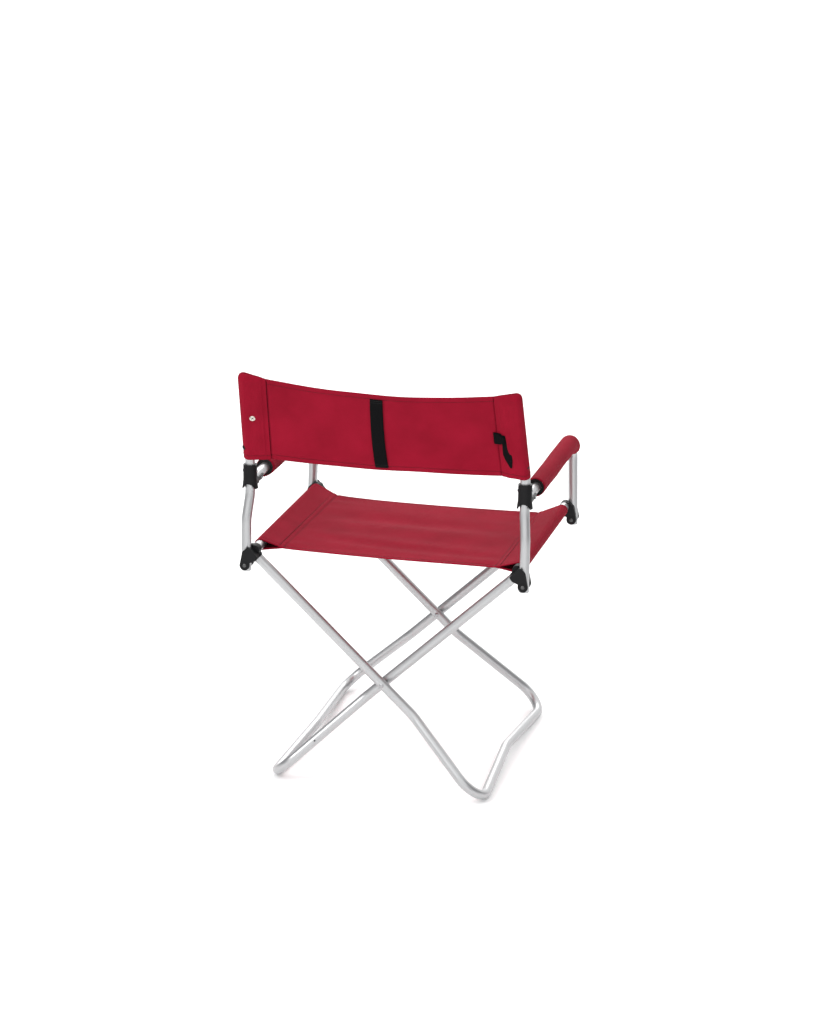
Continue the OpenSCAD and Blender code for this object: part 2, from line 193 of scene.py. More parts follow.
def thread_heights(graph, thread):
    """Height from 0 to 1 of a plain weave, and which of the two sets of threads is on top."""
    uv = graph.node("UVMap", settings={"uv_map": "cloth"})
    split = graph.nodes.new("ShaderNodeSeparateXYZ")
    graph.links.new(uv, split.inputs[0])
    wave, cell = [], []
    for axis in (0, 1):
        threads = graph.math("DIVIDE", split.outputs[axis], thread)
        cell.append(graph.math("FLOOR", threads))
        wave.append(graph.math("SINE", graph.math("MULTIPLY", graph.math("FRACT", threads), math.pi)))
    over = graph.math("FLOORED_MODULO", graph.math("ADD", *cell), 2.0)
    under = graph.math("SUBTRACT", 1.0, over)
    crossed = graph.math("MULTIPLY", graph.span(wave[0], 0.45, 1.0), wave[1])
    along = graph.math("MULTIPLY", graph.span(wave[1], 0.45, 1.0), wave[0])
    height = graph.math("ADD", graph.math("MULTIPLY", over, along), graph.math("MULTIPLY", under, crossed))
    return height, over


def woven(name, dark, light, thread, sheen, roughness=0.8, bump=0.16 * MM, mottle=0.35):
    graph = Graph(name)
    height, over = thread_heights(graph, thread)
    wear = graph.noise(13.0, detail=6.0, roughness=0.62)
    yarn = graph.noise(700.0, detail=2.0)
    # The tone follows the weave's height: painted shade, darker where the threads dip and lighter on their crowns,
    # plus random yarn tone.
    tone = graph.math("ADD", graph.span(height, 0.25, 0.85), graph.span(yarn, -0.12, 0.12))
    tone = graph.math("ADD", tone, graph.math("MULTIPLY", over, 0.08))
    tone = graph.math("ADD", tone, graph.span(wear, -mottle / 2, mottle / 2))
    colour = graph.mix(tone, rgba(*dark), rgba(*light))
    fuzz = graph.bump(graph.noise(1400.0, detail=2.0), 0.05 * MM)
    return graph.finish(
        Base_Color=colour,
        Roughness=graph.span(yarn, roughness - 0.06, roughness + 0.06),
        Sheen_Weight=sheen,
        Sheen_Roughness=0.45,
        Specular_IOR_Level=0.06,
        Normal=graph.bump(height, bump, 0.8, fuzz),
    )


def aluminium():
    graph = Graph("anodised_tube")
    soft = graph.noise(14.0, detail=4.0)
    fine = graph.noise(2600.0, detail=2.0)
    scuffs = graph.node("TexNoise", Vector=stretched(graph, (1.0, 1.0, 14.0)), Scale=160.0, Detail=4.0)
    scuffed = graph.node("MapRange", Value=scuffs, From_Min=0.66, From_Max=0.74, To_Min=0.0, To_Max=0.12)
    colour = graph.mix(graph.span(soft, 0.2, 0.8), rgba(0.44, 0.445, 0.45), rgba(0.56, 0.565, 0.57))
    return graph.finish(
        Base_Color=graph.mix(scuffed, colour, rgba(0.5, 0.5, 0.5)),
        Metallic=0.9,
        Roughness=graph.math("ADD", graph.span(soft, 0.32, 0.42), scuffed),
        Normal=graph.bump(fine, 0.02 * MM, 0.6),
    )


def stretched(graph, scale):
    made = graph.nodes.new("ShaderNodeMapping")
    graph.links.new(graph.node("TexCoord", output=3), made.inputs["Vector"])
    made.inputs["Scale"].default_value = scale
    return made.outputs[0]


def plated(name, colour, roughness):
    graph = Graph(name)
    smudge = graph.noise(120.0, detail=4.0)
    return graph.finish(
        Base_Color=rgba(*colour),
        Metallic=1.0,
        Roughness=graph.span(smudge, roughness - 0.06, roughness + 0.1),
        Normal=graph.bump(graph.noise(1500.0), 0.01 * MM),
    )


def moulded(name, colour, roughness):
    """Moulded nylon: a fine spark-eroded skin, slightly polished in patches."""
    graph = Graph(name)
    skin = graph.node("TexVoronoi", Vector=graph.node("TexCoord", output=3), Scale=1300.0)
    patches = graph.noise(60.0, detail=4.0)
    lighter = tuple(c * 2.2 for c in colour)
    return graph.finish(
        Base_Color=graph.mix(graph.span(patches, 0.0, 0.7), rgba(*colour), rgba(*lighter)),
        Roughness=graph.span(patches, roughness - 0.08, roughness + 0.1),
        Specular_IOR_Level=0.2,
        Normal=graph.bump(skin, 0.05 * MM, 0.5),
    )


def foam():
    graph = Graph("black_foam")
    cells = graph.node("TexVoronoi", Vector=graph.node("TexCoord", output=3), Scale=900.0)
    return graph.finish(
        # The colour follows the cells' depth: painted shade, darker in the pits of the foam.
        Base_Color=graph.mix(cells, rgba(0.006, 0.006, 0.006), rgba(0.03, 0.03, 0.03)),
        Roughness=0.95,
        Specular_IOR_Level=0.2,
        Normal=graph.bump(cells, 0.3 * MM),
    )


def thread(name, colour):
    graph = Graph(name)
    twist = graph.noise(1800.0, detail=1.0)
    darker = tuple(c * 0.55 for c in colour)
    return graph.finish(
        Base_Color=graph.mix(twist, rgba(*darker), rgba(*colour)),
        Roughness=0.55,
        Specular_IOR_Level=0.2,
        Normal=graph.bump(twist, 0.1 * MM),
    )


MATERIAL = {
    "anodised_tube": aluminium(),
    "black_nylon": moulded("black_nylon", (0.004, 0.004, 0.0045), 0.5),
    "rivet_steel": plated("rivet_steel", (0.42, 0.42, 0.43), 0.34),
    "dark_rivet": plated("dark_rivet", (0.10, 0.10, 0.10), 0.3),
    "snap_metal": plated("snap_metal", (0.66, 0.62, 0.55), 0.2),
    "red_cloth": woven("red_cloth", (0.15, 0.002, 0.009), (0.36, 0.008, 0.029), 0.85 * MM, 0.015,
                       mottle=0.8),
    "black_webbing": woven("black_webbing", (0.001, 0.001, 0.001), (0.007, 0.007, 0.008), 1.6 * MM, 0.0,
                           bump=0.4 * MM, mottle=0.1),
    "black_foam": foam(),
    # The red thread is much darker than the cloth: partly its own dark red, partly painted shade that stands in for
    # the shade of the sewn grooves.
    "red_thread": thread("red_thread", (0.035, 0.001, 0.004)),
    "black_thread": thread("black_thread", (0.02, 0.02, 0.02)),
}

# ---------- mesh building ----------


def make_piece(name, vertices, faces, material, uvs=None, smooth=True):
    """A mesh object; uvs holds one pair per vertex, in metres of cloth."""
    mesh = bpy.data.meshes.new(name)
    mesh.from_pydata([tuple(v) for v in vertices], [], faces)
    mesh.materials.append(MATERIAL[material])
    if uvs is not None:
        layer = mesh.uv_layers.new(name="cloth")
        corner = np.zeros(len(mesh.loops), np.int32)
        mesh.loops.foreach_get("vertex_index", corner)
        layer.data.foreach_set("uv", np.asarray(uvs, np.float32)[corner].ravel())
    mesh.polygons.foreach_set("use_smooth", [smooth] * len(mesh.polygons))
    mesh.update()
    piece = bpy.data.objects.new(name, mesh)
    bpy.context.scene.collection.objects.link(piece)
    return piece


def grid_faces(rows, columns, closed=False, start=0):
    """Quads between rows x columns vertices; closed joins the last column to the first."""
    faces = []
    for i in range(rows - 1):
        for j in range(columns if closed else columns - 1):
            k = (j + 1) % columns
            a, b = start + i * columns, start + (i + 1) * columns
            faces.append((a + j, a + k, b + k, b + j))
    return faces


def lengths(points):
    """Distance along a line of points, from its first point."""
    steps = np.linalg.norm(np.diff(points, axis=0), axis=1)
    return np.concatenate([[0.0], np.cumsum(steps)])


def cloth_piece(name, points, material="red_cloth", thickness=CLOTH, flip=False):
    """A sheet from a rows x columns array of points, thickened about its middle."""
    rows, columns = points.shape[:2]
    across = lengths(points[rows // 2])
    up = lengths(points[:, columns // 2])
    uvs = [(across[j], up[i]) for i in range(rows) for j in range(columns)]
    faces = grid_faces(rows, columns)
    if flip:
        faces = [face[::-1] for face in faces]
    piece = make_piece(name, points.reshape(-1, 3), faces, material, uvs)
    solid = piece.modifiers.new("thickness", "SOLIDIFY")
    solid.thickness = thickness
    solid.offset = 0.0
    return piece


def stitches(name, lines, material="red_thread", pitch=STITCH_PITCH, width=1.1 * MM):
    """Sewn rows: one small raised bead per stitch. A line is (points, normals)."""
    vertices, faces = [], []
    sides = 6
    for points, normals in lines:
        points, normals = np.asarray(points, float), np.asarray(normals, float)
        along = lengths(points)
        count = max(1, int(along[-1] / pitch))
        for i in range(count):
            middle = (i + 0.5) * along[-1] / count
            ends = [np.array([np.interp(middle + h, along, points[:, k]) for k in range(3)])
                    for h in (-0.36 * pitch, 0.36 * pitch)]
            normal = np.array([np.interp(middle, along, normals[:, k]) for k in range(3)])
            normal /= np.linalg.norm(normal)
            way = ends[1] - ends[0]
            way /= np.linalg.norm(way)
            side = np.cross(normal, way)
            first = len(vertices)
            for share, scale in ((0.0, 0.45), (0.3, 1.0), (0.7, 1.0), (1.0, 0.45)):
                at = ends[0] + (ends[1] - ends[0]) * share
                for k in range(sides):
                    turn = 2 * math.pi * k / sides
                    ring = side * math.cos(turn) * width / 2 + normal * math.sin(turn) * width * 0.4
                    vertices.append(at + ring * scale)
            faces += grid_faces(4, sides, closed=True, start=first)
            faces.append(tuple(range(first + sides - 1, first - 1, -1)))
            faces.append(tuple(range(first + 3 * sides, first + 4 * sides)))
    return make_piece(name, vertices, faces, material)


def bump_at(distance, width):
    """1 at no distance, falling smoothly to nothing over about twice the width."""
    return np.exp(-((distance / width) ** 2))


def closer(values, places):
    """The values, in order, with more of them close to each of the places, where a sewn groove runs."""
    extra = [place + step * MM for place in places for step in (-2.4, -1.2, -0.5, 0.0, 0.5, 1.2, 2.4)]
    kept = [v for v in values if min(abs(v - e) for e in extra) > 0.3 * MM]
    low, high = min(values), max(values)
    return sorted(kept + [e for e in extra if low < e < high])


# ---------- seat cloth ----------


def seam_height(y):
    """Height of the seat's seams, which drop a little towards the front."""
    return RAIL.z - 5 * MM + 3 * MM * y / SEAT_HALF


def seat_half_profile(y):
    """Middle of the seat cloth from the seam's lower layer, round the rail and back to the seam, cut
    across at y on the left side: points [x, z] and their outward normals."""
    seam = np.array([RAIL.x - SEAT_SEAM, seam_height(y)])
    rail = np.array([RAIL.x, RAIL.z])
    far = np.linalg.norm(seam - rail)
    half = math.acos(WRAP_R / far)
    toward = math.atan2(seam[1] - rail[1], seam[0] - rail[0])
    points, normals = [], []
    low_angle, high_angle = toward + half, toward - half + 2 * math.pi
    touch_low = rail + WRAP_R * np.array([math.cos(low_angle), math.sin(low_angle)])
    touch_high = rail + WRAP_R * np.array([math.cos(high_angle), math.sin(high_angle)])
    below = seam - np.array([0.0, FOLD_GAP])
    for share in np.linspace(0.0, 1.0, 9)[:-1]:
        points.append(below + (touch_low - below) * share)
        normals.append([math.cos(low_angle), math.sin(low_angle)])
    for angle in np.linspace(low_angle, high_angle, 30):
        normal = [math.cos(angle), math.sin(angle)]
        points.append(rail + WRAP_R * np.array(normal))
        normals.append(normal)
    span = np.linalg.norm(seam - touch_high)
    for left_over in closer(np.linspace(0.0, span, 14), (0.0, TWIN_GAP))[-2::-1]:
        points.append(seam + (touch_high - seam) * left_over / span)
        normals.append([math.cos(high_angle), math.sin(high_angle)])
    return np.array(points), np.array(normals)


def seat_profile(y):
    """The whole seat cloth cut across at y, from left to right, with 1 on the panel and 0 on the sleeves."""
    left, left_normals = seat_half_profile(y)
    right, right_normals = left[::-1] * [-1, 1], left_normals[::-1] * [-1, 1]
    inner = RAIL.x - SEAT_SEAM
    xs = np.linspace(inner, -inner, 74)[1:-1]
    panel = np.stack([xs, np.full_like(xs, left[-1][1])], axis=1)
    points = np.concatenate([left, panel, right])
    normals = np.concatenate([left_normals, np.tile([0.0, 1.0], (len(xs), 1)), right_normals])
    on_panel = np.concatenate([np.zeros(len(left)), np.ones(len(xs)), np.zeros(len(right))])
    return points, normals, on_panel


def seat_relief(x, y):
    """Height added to the panel: its sag, deeper at the free edges, and shallow pulls across the chair."""
    inner = RAIL.x - SEAT_SEAM
    across = np.clip(1 - (x / inner) ** 2, 0, 1)
    edge = abs(y) / SEAT_HALF
    sag = SEAT_SAG * (0.7 + 0.6 * edge ** 4)
    pulls = (
        2.2 * math.sin(y / 0.017 + 1.2 + 2.5 * x) * np.exp(-(((y + 0.02) / 0.10) ** 2))
        + 1.4 * np.sin(y / 0.031 - 5.0 * x + 0.4)
        + 1.6 * np.sin(y / 0.011 + 9.0 * x) * np.exp(-(((y - 0.13) / 0.05) ** 2))
    )
    corners = 1.5 * np.exp(-(((abs(x) - inner) / 0.06) ** 2)) * math.sin(y / 0.008) * edge ** 3
    return -sag * across + (pulls * across ** 0.7 + corners * (abs(x) < inner)) * MM


def drawn_back(x, y):
    """Place along the rails of the cloth cut at y: its front edge is drawn back between the rails."""
    inward = min(max((RAIL.x - abs(x)) / (70 * MM), 0.0), 1.0)
    return y + FRONT_PULL * inward * max(-y / SEAT_HALF, 0.0) ** 3


def hem_rows(start, end, inner_rows):
    """Rows from one free edge to the other, each (distance along, share of the fold under it)."""
    spread = np.linspace(start + 3 * MM, end - 3 * MM, inner_rows)
    top = [(along, 0.0) for along in closer(spread, (start + HEM_ROW, end - HEM_ROW))]
    return [(start + x, fold) for x, fold in HEM_FOLD] + top + [(end - x, fold) for x, fold in HEM_FOLD[::-1]]


def seat_point(point, normal, on_panel, y, fold):
    """A point of the seat cloth, from its place on the section at y, with seams, hems and pulls."""
    x, z = point
    if on_panel:
        z = z + seat_relief(x, y)
    inner = RAIL.x - SEAT_SEAM
    from_seam = abs(x) - inner
    lift = 0.0
    if on_panel or normal[1] > 0.3:
        pucker = 0.3 * math.sin(2 * math.pi * y / (12.5 * MM) + 2 * math.sin(y / 0.03))
        lift += pucker * MM * bump_at(from_seam - TWIN_GAP / 2, 5 * MM)
        lift += 0.5 * MM * bump_at(from_seam - TWIN_GAP / 2, 1.6 * MM)
        lift -= 0.5 * MM * (bump_at(from_seam, 1.0 * MM) + bump_at(from_seam - TWIN_GAP, 1.0 * MM))
        lift -= 0.6 * MM * bump_at(SEAT_HALF - HEM_ROW - abs(y), 1.6 * MM)
    shift = lift - fold * FOLD_GAP
    return (x + normal[0] * shift, drawn_back(x, y), z + normal[1] * shift)


def seat_surface(x, y):
    """Top of the panel at a place, for what is sewn on it."""
    return Vector((x, drawn_back(x, y), seam_height(y) + seat_relief(x, y) + CLOTH / 2))


def make_seat():
    sheet = []
    for y, fold in hem_rows(-SEAT_HALF, SEAT_HALF, 90):
        points, normals, on_panel = seat_profile(y)
        sheet.append([seat_point(p, n, o, y, fold) for p, n, o in zip(points, normals, on_panel)])
    cover = cloth_piece("seat_cover", np.array(sheet), flip=True)
    left, left_normals = seat_half_profile(0.0)
    lines = []
    inner = RAIL.x - SEAT_SEAM
    up = (0.0, 0.0, 1.0)
    ys = np.linspace(2 * MM - SEAT_HALF, SEAT_HALF - 2 * MM, 60)
    slope = left_normals[-1]
    rise = (RAIL.z + WRAP_R - left[-1][1]) * TWIN_GAP / SEAT_SEAM
    for side in (LEFT, RIGHT):
        row = [(side * (inner - 0.4 * MM), drawn_back(inner, y), seam_height(y) + CLOTH / 2 - 0.3 * MM)
               for y in ys]
        lines.append((row, [up] * len(row)))
        x = inner + TWIN_GAP
        row = [(side * x, drawn_back(x, y), seam_height(y) + rise + CLOTH / 2 - 0.1 * MM) for y in ys]
        lines.append((row, [(side * slope[0], 0.0, slope[1])] * len(row)))
    for y in (HEM_ROW - SEAT_HALF, SEAT_HALF - HEM_ROW):
        row = [seat_surface(x, y) - Vector((0, 0, 0.3 * MM)) for x in np.linspace(inner, -inner, 80)]
        lines.append((row, [up] * len(row)))
    seams = stitches("seat_stitching", lines)
    for piece in (cover, seams):
        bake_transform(piece)
    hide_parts("seat_panel", "seat_sleeve_left", "seat_sleeve_right")


# ---------- back cloth ----------


def back_frame(side):
    """Frame of a back post above its bend: x outward, y rearward, z up the post."""
    origin = BACK_BEND if side == LEFT else Vector((-BACK_BEND.x, BACK_BEND.y - STAGGER, BACK_BEND.z))
    turn = Matrix.Rotation(-RECLINE, 4, "X") @ Matrix.Rotation(-TOE_IN, 4, "Y")
    flip = Matrix.Diagonal((side, 1, 1, 1))
    return Matrix.Translation(origin) @ flip @ turn


BACK = {side: back_frame(side) for side in (LEFT, RIGHT)}


def on_back(side, x, y, z):
    """A point in a back post's frame, in the chair's frame."""
    z *= LEFT_RISE if side == LEFT else 1.0
    return np.array(BACK[side] @ Vector((x, y, z)))


BACK_NORMAL = np.array(Matrix.Rotation(-RECLINE, 3, "X") @ Vector((0, 1, 0)))
SLEEVE_SLOPE = math.asin((WRAP_R - SEAM_GAP) / BACK_SEAM)


def sleeve_outline():
    """Section of a back sleeve: from the seam's rear layer round the post to the seam's front layer."""
    half = math.acos((WRAP_R - FOLD_GAP * 0.6) / BACK_SEAM)
    points = []
    seam_rear = np.array([-BACK_SEAM, SEAM_GAP])
    rear = WRAP_R * np.array([math.cos(math.pi - half), math.sin(math.pi - half)])
    span = np.linalg.norm(rear - seam_rear)
    offsets = closer(np.linspace(0.0, span, 12), (MM, MM + TWIN_GAP))
    for offset in offsets[:-1]:
        points.append(seam_rear + (rear - seam_rear) * offset / span)
    for angle in np.linspace(math.pi - half, half - math.pi, 34):
        points.append(WRAP_R * np.array([math.cos(angle), math.sin(angle)]))
    front = points[-1]
    seam_front = seam_rear * [1, -1]
    for offset in offsets[-2::-1]:
        points.append(seam_front + (front - seam_front) * offset / span)
    return np.array(points)


def sleeve_rows():
    """Rows up a sleeve: (height, share of the fold under, squeeze towards the closed top)."""
    rows = [(BACK_LOW + z, fold, 1.0) for z, fold in HEM_FOLD]
    round_top = 9 * MM
    shoulder = BACK_HIGH - round_top
    rows += [(z, 0.0, 1.0) for z in closer(np.linspace(BACK_LOW + 3 * MM, shoulder, 44), (BACK_LOW + HEM_ROW,))]
    for angle in np.linspace(0.0, math.pi / 2, 9)[1:]:
        rows.append((shoulder + round_top * math.sin(angle), 0.0, max(math.cos(angle), 0.08)))
    return rows


def sleeve_point(side, point, z, fold, squeeze):
    """A point of a back sleeve, from its place on the section, its height and its row's fold and squeeze."""
    x, y = point
    reach = math.hypot(max(x, 0.0), y) + 1e-9
    inward = FOLD_GAP * fold
    y -= math.copysign(min(inward, abs(y) * 0.9), y)
    if x > 0:
        x -= inward * x / reach
    y *= squeeze
    if x > 0:
        x *= 0.35 + 0.65 * squeeze
    height = (z - BACK_LOW) / (BACK_HIGH - BACK_LOW)
    y += math.copysign(sleeve_lift(side, x, z, y > 0) * squeeze, y)
    peak = BACK_PEAK * min(max((x + BACK_SEAM) / BACK_SEAM, 0.0), 1.0) ** 0.8 * max(height, 0.0) ** 8
    return on_back(side, x, y, z + peak)


def sleeve_lift(side, x, z, rear):
    """Height added to a face of a sleeve: its dips, pulls, seams and hem."""
    near_seam = x + BACK_SEAM
    height = (z - BACK_LOW) / (BACK_HIGH - BACK_LOW)
    ripple = 0.6 * math.sin(z / 0.013 + 0.6 * side) + 0.5 * math.sin(z / 0.031 + (1.5 if rear else 0.2))
    lift = ripple * bump_at(x + BACK_SEAM / 2, BACK_SEAM / 2.6)
    lift -= 1.8 * bump_at(x + BACK_SEAM * 0.62, BACK_SEAM * 0.2)
    pull = x + BACK_SEAM * (0.75 - 0.5 * (1 - height))
    lift -= 1.4 * bump_at(pull, 5 * MM) * bump_at(height - 0.3, 0.25)
    lift += 0.25 * math.sin(2 * math.pi * z / (11 * MM)) * bump_at(near_seam, 5 * MM)
    lift -= 0.5 * (bump_at(near_seam - MM, 1.1 * MM) + bump_at(near_seam - MM - TWIN_GAP, 1.1 * MM))
    lift += 0.5 * bump_at(near_seam - MM - TWIN_GAP / 2, 1.5 * MM)
    lift -= 0.7 * bump_at(z - BACK_LOW - HEM_ROW, 1.4 * MM)
    return lift * MM


def make_back_sleeve(side, name, body):
    outline = sleeve_outline()
    sheet = np.array([[sleeve_point(side, p, z, fold, squeeze) for p in outline]
                      for z, fold, squeeze in sleeve_rows()])
    cover = cloth_piece("back_cloth_sleeve_" + name, sheet, flip=side == RIGHT)
    zs = np.linspace(BACK_LOW + 2 * MM, BACK_HIGH - 6 * MM, 50)
    lines = []
    for face in (1, -1):
        for offset in (MM, MM + TWIN_GAP):
            x = offset * math.cos(SLEEVE_SLOPE) - BACK_SEAM
            flat = SEAM_GAP + offset * math.sin(SLEEVE_SLOPE) + CLOTH / 2
            row = [on_back(side, x, face * (flat + sleeve_lift(side, x, z, face > 0)), z) for z in zs]
            lines.append((row, [BACK_NORMAL * face] * len(row)))
    around = np.array([p for p in outline if p[0] > MM - BACK_SEAM])
    outward = np.gradient(around, axis=0)[:, ::-1] * [1, -1]
    row = [sleeve_point(side, p - n * CLOTH / 2 / np.linalg.norm(n), BACK_LOW + HEM_ROW, 0.0, 1.0)
           for p, n in zip(around, outward)]
    facing = [BACK[side].to_3x3() @ Vector((-n[0], -n[1], 0)) for n in outward]
    lines.append((row, facing))
    seams = stitches("back_stitching_" + name, lines)
    for piece in (cover, seams):
        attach(piece, body)
    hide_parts("back_sleeve_" + name)


def panel_point(share, z, rise=0.0):
    """A point of the back panel: share from the left seam to the right, z up the posts, rise rearward."""
    middle = 1 - (2 * share - 1) ** 2
    height = (z - BACK_LOW) / (BACK_HIGH - BACK_LOW)
    low_hem, high_hem = z - BACK_LOW - HEM_ROW, z - BACK_HIGH + HEM_ROW
    z = z - BACK_DIP * middle * height
    left, right = on_back(LEFT, -BACK_SEAM, 0, z), on_back(RIGHT, -BACK_SEAM, 0, z)
    point = left + (right - left) * share
    x = point[0]
    slack = (
        0.9 * math.sin(x / 0.055 + 3.0 * height)
        + 0.6 * math.sin(x / 0.024 - 4.0 * height + 1.0)
        + 1.0 * math.sin(5.0 * height + 1.6) * math.sin(math.pi * share)
    )
    edge = abs(2 * share - 1)
    pull = 0.8 * math.sin(height * 16.0 + 9.0 * edge) * edge ** 4
    out = BACK_BOW * middle + (slack * middle ** 0.6 + pull * (1 - edge ** 12)) * MM
    out -= 0.7 * MM * (bump_at(low_hem, 1.4 * MM) + 0.4 * bump_at(high_hem, 1.4 * MM))
    return point + BACK_NORMAL * (out + rise)


def make_back_panel():
    rows = hem_rows(BACK_LOW, BACK_HIGH, 44)
    shares = np.linspace(0.0, 1.0, 90)
    sheet = np.array([[panel_point(a, z, -fold * FOLD_GAP) for a in shares] for z, fold in rows])
    panel = cloth_piece("back_cloth_panel", sheet)
    lines = []
    for z in (BACK_LOW + HEM_ROW, BACK_HIGH - HEM_ROW):
        row = [panel_point(a, z, CLOTH / 2) for a in shares]
        lines.append((row, [BACK_NORMAL] * len(row)))
    seams = stitches("back_stitching_panel", lines)
    strap, sewn = make_webbing()
    anchor = tuple(panel_point(0.0, BACK_LOW))
    for piece in (panel, seams, strap, sewn):
        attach(piece, "side_left")
        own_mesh(piece)
    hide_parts("back_panel")
    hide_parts("back_webbing")


def make_webbing():
    """The strap sewn down the back cloth, and its two rows of stitches at each end."""
    left_seam = on_back(LEFT, -BACK_SEAM, 0, 0)[0]
    right_seam = on_back(RIGHT, -BACK_SEAM, 0, 0)[0]
    web = centre("back_webbing").x
    half = size("back_webbing").x / 2 - 1 * MM
    shares = [(left_seam - x) / (left_seam - right_seam) for x in np.linspace(web + half, web - half, 9)]
    low, high = BACK_LOW + 7 * MM, BACK_HIGH - 10.6 * MM
    gap = CLOTH / 2 + 0.95 * MM
    sheet = []
    for z in np.linspace(low, high, 60):
        end = min(z - low, high - z)
        loose = gap + 0.8 * MM * (1 - bump_at(end, 16 * MM))
        sheet.append([panel_point(a - 0.006 * math.sin(math.pi * (z - low) / (high - low)), z, loose)
                      for a in shares])
    strap = cloth_piece("back_strap", np.array(sheet), "black_webbing", 1.5 * MM)
    lines = []
    for z in (low + 2.5 * MM, low + 7 * MM, high - 2.5 * MM, high - 7 * MM):
        row = [panel_point(a, z, gap + 0.75 * MM) for a in np.linspace(shares[0], shares[-1], 12)]
        lines.append((row, [BACK_NORMAL] * len(row)))
    return strap, stitches("back_strap_stitching", lines, "black_thread", pitch=2.6 * MM)


# ---------- closure ----------


def ribbon(name, middle, widths, side_way, thickness, material):
    """A strap along a line of points, as wide at each point as widths says, across side_way."""
    sheet = []
    for point, width in zip(middle, widths):
        sheet.append([np.array(point) + np.array(side_way) * width * s for s in np.linspace(-0.5, 0.5, 9)])
    return cloth_piece(name, np.array(sheet), material, thickness)


def on_sleeve(x, y, z):
    """A point on the rear face of the right back sleeve: x from the seam towards the post, y off the face."""
    face = 1.5 * MM + y
    return on_back(RIGHT, -BACK_SEAM + x * math.cos(SLEEVE_SLOPE) - face * math.sin(SLEEVE_SLOPE),
                   x * math.sin(SLEEVE_SLOPE) + face * math.cos(SLEEVE_SLOPE), z)


def make_closure():
    """A sewn loop on the right seam, and the pointed strap that hangs from it with its snap."""
    turns = BACK[RIGHT].to_3x3()
    loop = ((-7, 1.9), (-3, 1.9), (2, 1.2), (7, 1.0), (12, 1.3), (15.5, 2.6), (16.2, 4.0), (14.5, 5.0),
            (10, 4.6), (4, 3.6), (-2, 3.6), (-6.6, 3.4))
    middle = [on_sleeve(x * MM, y * MM, 97 * MM) for x, y in loop]
    widths = [(24 - 11 * bump_at(x - 15, 6)) * MM for x, _ in loop]
    tab = ribbon("closure_loop", middle, widths, turns @ Vector((0, 0, 1)), 0.9 * MM, "black_webbing")
    steps = np.linspace(0.0, 1.0, 30)
    strap_points = [on_sleeve(np.interp(t, (0, 0.35, 0.65, 1), (13, 15, 19, 22.6)) * MM,
                              (1.3 + 0.8 * math.sin(3.0 * t)) * MM, (106 - 72 * t) * MM) for t in steps]
    widths = [np.interp(t, (0, 0.3, 0.6, 0.75, 1), (8, 9.5, 18, 15, 3)) * MM for t in steps]
    across = turns @ Vector((1, 0.2, 0)).normalized()
    strap = ribbon("closure_pull", strap_points, widths, across, 2.0 * MM, "black_webbing")
    for piece, node in ((tab, "closure_tab"), (strap, "closure_strap")):
        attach(piece, "side_right")
        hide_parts(node)
    # A flat dark disc on the left snap stud's end: painted shade that stands in for the shadow inside the stud's
    # hollow end.
    stud = centre("snap_stud")
    out = BACK[LEFT].to_3x3() @ Vector((-math.sin(SLEEVE_SLOPE), math.cos(SLEEVE_SLOPE), 0))
    side_way = out.orthogonal().normalized()
    up_way = out.cross(side_way)
    ring = [stud + out * 2.6 * MM + (side_way * math.cos(a) + up_way * math.sin(a)) * 2.6 * MM
            for a in np.linspace(0, 2 * math.pi, 20, endpoint=False)]
    shade_disc = make_piece("stud_hollow_painted_shade", ring, [tuple(range(20))], "dark_rivet")
    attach(shade_disc, "side_left")


# ---------- armrest pads ----------


def arm_path(y_from, z_to, steps=(46, 14, 6)):
    """Middle of the armrest on the left side, with the direction along it: back to front, then down."""
    y_bend = FRONT_POST_Y + ARM_BEND
    line = [((0, y, ARM_Z), (0, -1, 0)) for y in np.linspace(y_from, y_bend, steps[0])[:-1]]
    for angle in np.linspace(0, math.pi / 2, steps[1]):
        at = (0, y_bend - ARM_BEND * math.sin(angle), ARM_Z - ARM_BEND * (1 - math.cos(angle)))
        line.append((at, (0, -math.cos(angle), -math.sin(angle))))
    z_bend = ARM_Z - ARM_BEND
    if z_to < z_bend:
        line += [((0, FRONT_POST_Y, z), (0, 0, -1)) for z in np.linspace(z_bend, z_to, steps[2])[1:]]
    return line


